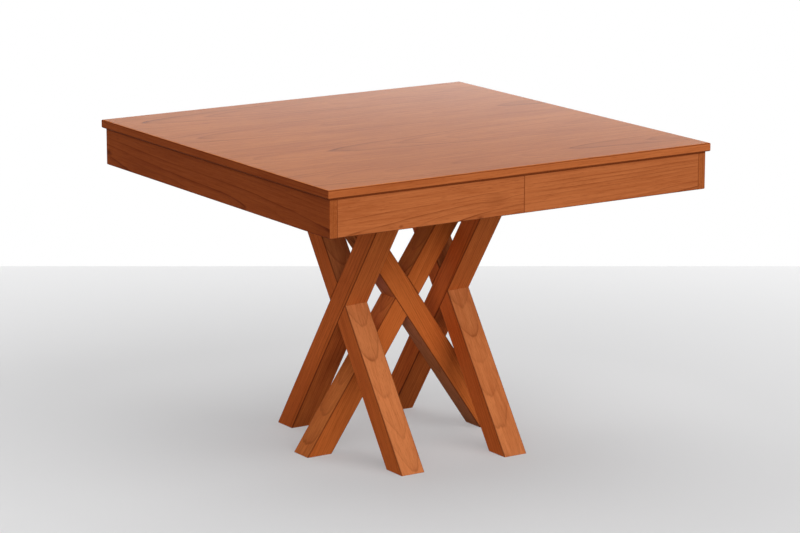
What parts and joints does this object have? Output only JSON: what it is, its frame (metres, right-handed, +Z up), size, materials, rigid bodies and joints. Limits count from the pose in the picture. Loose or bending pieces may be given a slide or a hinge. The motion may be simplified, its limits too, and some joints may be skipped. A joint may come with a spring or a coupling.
{
  "type": "extension table",
  "caption": "Square wooden dining table on half-lapped X-frames. The split top slides open on geared dovetail slides, and hooked locks under it hold it shut.",
  "frame": {"origin": "on the floor, under the middle of the top", "axes": "+X the way the right half of the top opens, +Y along the split towards the rear, +Z up"},
  "size_m": [1.067, 1.067, 0.771],
  "materials": {
    "top_wood": "satin",
    "apron_wood": "satin",
    "leg_wood": "satin",
    "inner_wood": "matt",
    "fitting_steel": "zinc plated",
    "gear_steel": "as cut"
  },
  "bodies": {
    "base": {"centre_frame_left_leg": "leg_wood", "centre_frame_right_leg": "leg_wood", "centre_head_rail": "inner_wood", "front_slide_rail": "inner_wood", "left_frame_front_leg": "leg_wood", "left_frame_rear_leg": "leg_wood", "left_head_rail": "inner_wood", "leg_lag_screws": "fitting_steel", "pinion_pins": "fitting_steel", "rear_slide_rail": "inner_wood", "right_frame_front_leg": "leg_wood", "right_frame_rear_leg": "leg_wood", "right_head_rail": "inner_wood", "slide_rail_screws": "fitting_steel", "slide_stop_pins": "fitting_steel"},
    "left_top": {"left_clip_screws": "fitting_steel", "left_corner_screws": "fitting_steel", "left_end_apron": "apron_wood", "left_front_apron": "apron_wood", "left_front_corner_block": "inner_wood", "left_front_rack": "gear_steel", "left_front_runner": "inner_wood", "left_rear_apron": "apron_wood", "left_rear_corner_block": "inner_wood", "left_rear_rack": "gear_steel", "left_rear_runner": "inner_wood", "left_runner_screws": "fitting_steel", "left_top_clips": "fitting_steel", "left_top_panel": "top_wood", "lock_plates": "fitting_steel", "lock_posts": "fitting_steel"},
    "right_top": {"right_clip_screws": "fitting_steel", "right_corner_screws": "fitting_steel", "right_end_apron": "apron_wood", "right_front_apron": "apron_wood", "right_front_corner_block": "inner_wood", "right_front_rack": "gear_steel", "right_front_runner": "inner_wood", "right_rear_apron": "apron_wood", "right_rear_corner_block": "inner_wood", "right_rear_rack": "gear_steel", "right_rear_runner": "inner_wood", "right_runner_screws": "fitting_steel", "right_top_clips": "fitting_steel", "right_top_panel": "top_wood", "lock_keepers": "fitting_steel", "seam_keys": "inner_wood"},
    "front_pinion": {"front_pinion": "gear_steel"},
    "rear_pinion": {"rear_pinion": "gear_steel"},
    "front_lock_lever": {"front_lock_lever": "fitting_steel"},
    "rear_lock_lever": {"rear_lock_lever": "fitting_steel"}
  },
  "joints": [
    {"name": "left_half_slide", "type": "slide", "parent": "base", "child": "left_top", "axis": [-1, 0, 0], "range_m": [0, 0.305]},
    {"name": "right_half_slide", "type": "slide", "parent": "base", "child": "right_top", "axis": [1, 0, 0], "range_m": [0, 0.305]},
    {"name": "rear_pinion_spin", "type": "hinge", "parent": "base", "child": "rear_pinion", "pos_m": [0, 0.26721, 0.7145], "axis": [0, 0, 1], "range_deg": [0, 730]},
    {"name": "front_pinion_spin", "type": "hinge", "parent": "base", "child": "front_pinion", "pos_m": [0, -0.26721, 0.7145], "axis": [0, 0, 1], "range_deg": [-730, 0]},
    {"name": "rear_lock_turn", "type": "hinge", "parent": "left_top", "child": "rear_lock_lever", "pos_m": [-0.03, 0.41421, 0.7455], "axis": [0, 0, 1], "range_deg": [0, 90]},
    {"name": "front_lock_turn", "type": "hinge", "parent": "left_top", "child": "front_lock_lever", "pos_m": [-0.03, -0.41421, 0.7455], "axis": [0, 0, -1], "range_deg": [0, 90]}
  ],
  "couplings": [
    {"joint": "right_half_slide", "follows": "left_half_slide", "ratio": 1},
    {"joint": "rear_pinion_spin", "follows": "left_half_slide", "rad_per_m": 41.667},
    {"joint": "front_pinion_spin", "follows": "left_half_slide", "rad_per_m": -41.667}
  ]
}
